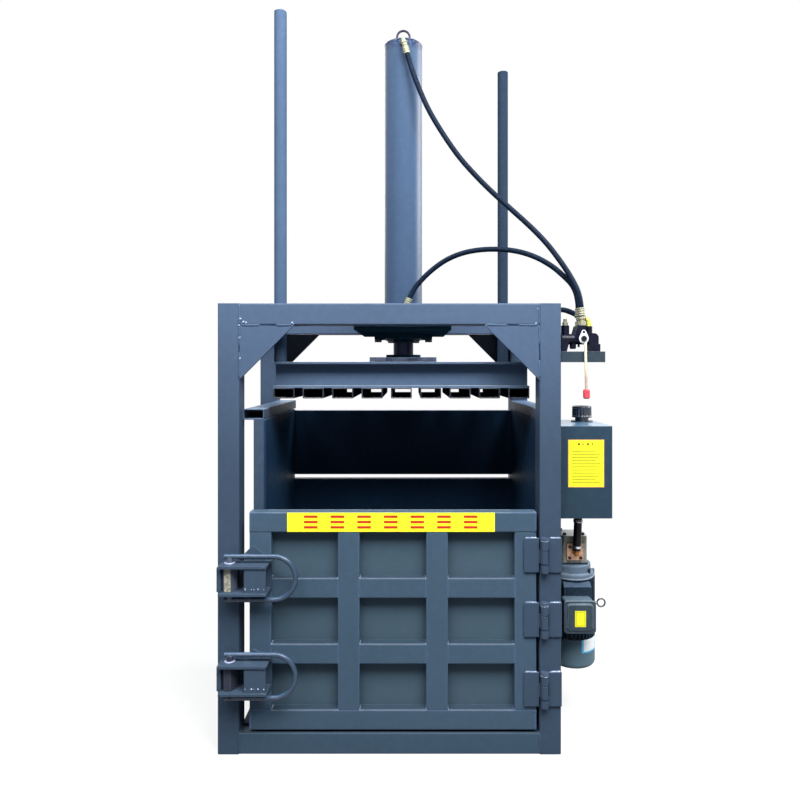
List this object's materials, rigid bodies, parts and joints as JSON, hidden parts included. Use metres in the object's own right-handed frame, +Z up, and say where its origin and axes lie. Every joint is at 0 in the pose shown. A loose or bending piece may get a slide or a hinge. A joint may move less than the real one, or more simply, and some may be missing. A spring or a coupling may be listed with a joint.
{
  "type": "vertical hydraulic baler",
  "caption": "Vertical hydraulic baler: square-tube frame round a baling chamber, cylinder driving a slotted platen, hinged door with turning latches, and side oil tank, valve, pump and motor.",
  "frame": {"origin": "centre of the main frame's footprint on the floor", "axes": "+X to the machine's right as seen from its front, +Y from the front to the back, +Z up"},
  "size_m": [1.5065, 0.82, 2.859],
  "materials": {
    "frame_paint": "semi-gloss",
    "door_paint": "semi-gloss",
    "press_paint": "semi-gloss",
    "tank_paint": "semi-gloss",
    "rod_steel": "oiled",
    "bare_steel": "machined",
    "black_bolts": "black oxide",
    "zinc": "yellow zinc plate",
    "valve_cast": "black enamel",
    "pump_cast": "cast",
    "brass_flange": "worn",
    "motor_paint": "painted satin",
    "cowl_paint": "satin",
    "hose_rubber": "matt",
    "lever_chrome": "polished",
    "lever_rod_paint": "satin",
    "knob_plastic": "glossy",
    "cap_plastic": "ribbed"
  },
  "bodies": {
    "frame": {"frame_posts": "frame_paint", "top_beams": "frame_paint", "base_beams": "frame_paint", "corner_gussets": "frame_paint", "floor_plate": "frame_paint", "wall_tubes": "frame_paint", "wall_plates": "frame_paint", "back_panels": "frame_paint", "hinge_frame_leaves": "frame_paint", "keeper_plates": "frame_paint", "guide_sleeves": "frame_paint", "side_brackets": "frame_paint", "cylinder_mount_plate": "press_paint", "cylinder_barrel": "press_paint", "cylinder_head": "press_paint", "lifting_loop": "press_paint", "cylinder_flange": "press_paint", "rod_gland": "bare_steel", "hinge_pins": "bare_steel", "hose_clamps": "bare_steel", "flange_bolts": "black_bolts", "unit_bolts": "black_bolts", "valve_body": "valve_cast", "valve_unions": "zinc", "supply_union": "zinc", "port_elbows": "zinc", "hose_ferrules": "zinc", "upper_hose": "hose_rubber", "lower_hose": "hose_rubber", "supply_hose": "hose_rubber", "suction_hose": "hose_rubber", "oil_tank": "tank_paint", "pump_body": "pump_cast", "pump_inlet": "brass_flange", "motor_housing": "motor_paint", "motor_end_shield": "motor_paint", "motor_eye": "motor_paint", "terminal_box": "motor_paint", "fan_cowl": "cowl_paint", "filler_neck": "cap_plastic"},
    "ram": {"piston": "bare_steel", "piston_rod": "rod_steel", "rod_flange": "press_paint", "seat_plate": "press_paint", "platen_channels": "press_paint", "platen_feet": "press_paint", "guide_rods": "press_paint"},
    "door": {"door_sheet": "door_paint", "door_frame_tubes": "door_paint", "door_hinge_leaves": "door_paint", "latch_housings": "door_paint"},
    "upper_latch": {"upper_latch_cam": "door_paint", "upper_latch_handle": "door_paint"},
    "lower_latch": {"lower_latch_cam": "door_paint", "lower_latch_handle": "door_paint"},
    "lever": {"lever_plate": "lever_chrome", "lever_rod": "lever_rod_paint", "lever_knob": "knob_plastic"},
    "cap": {"filler_cap": "cap_plastic"},
    "rotor": {"motor_rotor": "bare_steel"}
  },
  "joints": [
    {"name": "press_slide", "type": "slide", "parent": "frame", "child": "ram", "axis": [0, 0, -1], "range_m": [0, 0.9]},
    {"name": "door_swing", "type": "hinge", "parent": "frame", "child": "door", "pos_m": [0.5675, -0.385, 0], "axis": [0, 0, 1], "range_deg": [0, 160]},
    {"name": "upper_latch_turn", "type": "hinge", "parent": "door", "child": "upper_latch", "pos_m": [-0.575, -0.41, 0.662], "axis": [0, 0, -1], "range_deg": [0, 160]},
    {"name": "lower_latch_turn", "type": "hinge", "parent": "door", "child": "lower_latch", "pos_m": [-0.575, -0.41, 0.307], "axis": [0, 0, -1], "range_deg": [0, 160]},
    {"name": "valve_lever_turn", "type": "hinge", "parent": "frame", "child": "lever", "pos_m": [0.718, -0.36, 1.53], "axis": [0, -1, 0], "range_deg": [-18, 18], "stiffness_Nm_per_rad": 3},
    {"name": "cap_lift", "type": "slide", "parent": "frame", "child": "cap", "axis": [0, 0, 1], "range_m": [0, 0.06]},
    {"name": "motor_spin", "type": "hinge", "parent": "frame", "child": "rotor", "pos_m": [0.734, -0.12, 0.45], "axis": [0, 0, 1], "continuous": true}
  ]
}
